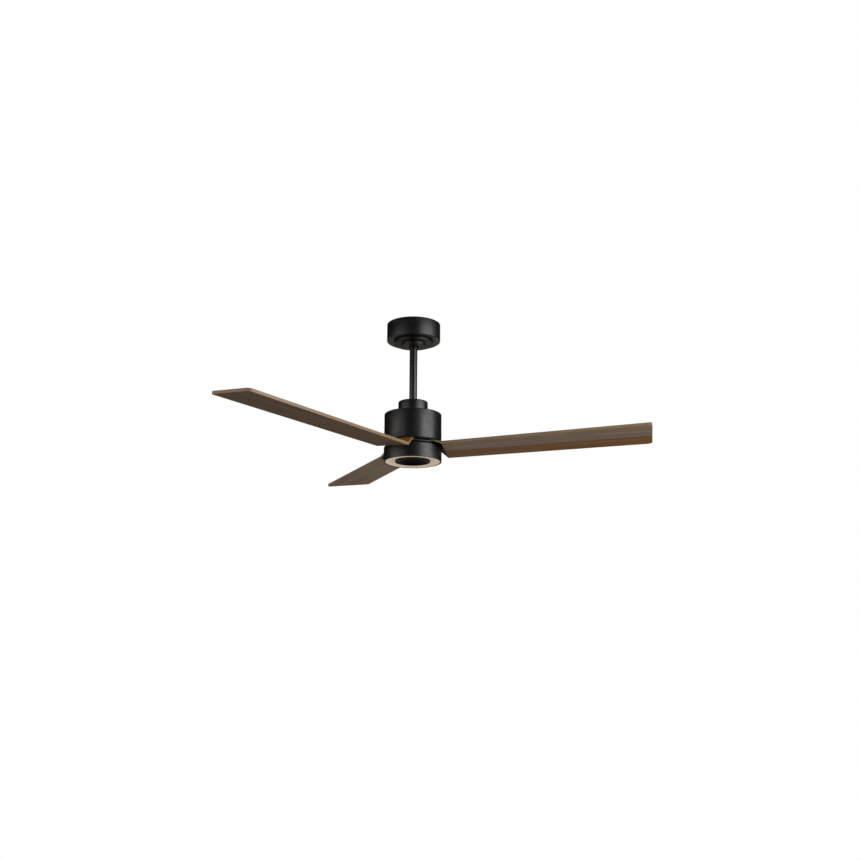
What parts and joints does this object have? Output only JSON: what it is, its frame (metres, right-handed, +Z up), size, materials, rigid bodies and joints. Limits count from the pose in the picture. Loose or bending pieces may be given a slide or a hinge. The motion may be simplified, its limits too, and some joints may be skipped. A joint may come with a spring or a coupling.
{
  "type": "ceiling fan with light",
  "caption": "Ceiling fan: black canopy, ball-hung downrod and motor drum, walnut blades turning in the gap above a drum-shaped ring light.",
  "frame": {"origin": "centre of the ceiling plane, on the bracket's top face between its two screw slots", "axes": "+Z up, out of the ceiling face and along the rod; +X along the row of the two ceiling-screw slots; the fan hangs towards -Z"},
  "size_m": [1.1371, 1.1795, 0.4016],
  "materials": {
    "black_paint": "satin black powder coat",
    "zinc_steel": "zinc-plated steel",
    "green_screw": "green dyed zinc",
    "white_plastic": "moulded plastic case",
    "black_cable": "PVC-insulated lead",
    "connector_plastic": "moulded twist-on connector",
    "ball_nylon": "glass-filled nylon",
    "cast_iron": "blackened casting",
    "core_steel": "stacked electrical steel",
    "copper_wire": "enamelled copper wire",
    "bearing_steel": "ground bearing steel",
    "cast_aluminium": "die-cast aluminium",
    "magnet_ferrite": "sintered ferrite",
    "board_white": "white solder mask",
    "led_phosphor": "phosphor gel",
    "opal_diffuser": "opal acrylic, lit warm white",
    "walnut_wood": "satin walnut",
    "gasket_rubber": "moulded rubber"
  },
  "bodies": {
    "ceiling": {"hanger_bracket": "zinc_steel", "earth_screw": "green_screw", "canopy": "black_paint", "canopy_screws": "zinc_steel", "canopy_cover": "black_paint", "receiver": "white_plastic", "supply_leads": "black_cable", "wire_connectors": "connector_plastic"},
    "ball": {"hanger_ball": "ball_nylon", "ball_pin": "zinc_steel"},
    "suspension": {"downrod": "black_paint", "motor_leads": "black_cable", "coupling": "cast_iron", "clevis_pin": "zinc_steel", "hairpin_clip": "zinc_steel", "coupling_set_screws": "zinc_steel", "coupling_cover": "black_paint", "motor_housing": "black_paint", "housing_screws": "zinc_steel", "motor_shaft": "zinc_steel", "stator_hub": "core_steel", "stator_core": "core_steel", "stator_windings": "copper_wire", "bearing_inner_races": "bearing_steel", "light_plate": "zinc_steel", "shaft_washer": "zinc_steel", "shaft_nut": "zinc_steel", "plate_screws": "zinc_steel", "light_housing": "black_paint", "light_bezel": "black_paint", "led_driver": "white_plastic", "led_carrier": "cast_aluminium", "led_board": "board_white", "led_chips": "led_phosphor", "ring_diffuser": "opal_diffuser", "centre_cup": "black_paint"},
    "rotor": {"rotor_bell": "cast_aluminium", "rotor_magnets": "magnet_ferrite", "rotor_base": "cast_iron", "bell_screws": "zinc_steel", "bearing_outer_races": "bearing_steel", "bearing_balls": "bearing_steel", "blade_1": "walnut_wood", "blade_2": "walnut_wood", "blade_3": "walnut_wood", "blade_gaskets": "gasket_rubber", "blade_clamp": "cast_iron", "blade_screws": "zinc_steel"}
  },
  "joints": [
    {"name": "ball_rock", "type": "hinge", "parent": "ceiling", "child": "ball", "pos_m": [0, 0, -0.03], "axis": [1, 0, 0], "range_deg": [-3.5, 3.5]},
    {"name": "rod_rock", "type": "hinge", "parent": "ball", "child": "suspension", "pos_m": [0, 0, -0.03], "axis": [0, 1, 0], "range_deg": [-3.5, 3.5]},
    {"name": "fan_spin", "type": "hinge", "parent": "suspension", "child": "rotor", "pos_m": [0, 0, -0.3], "axis": [0, 0, 1], "continuous": true}
  ]
}
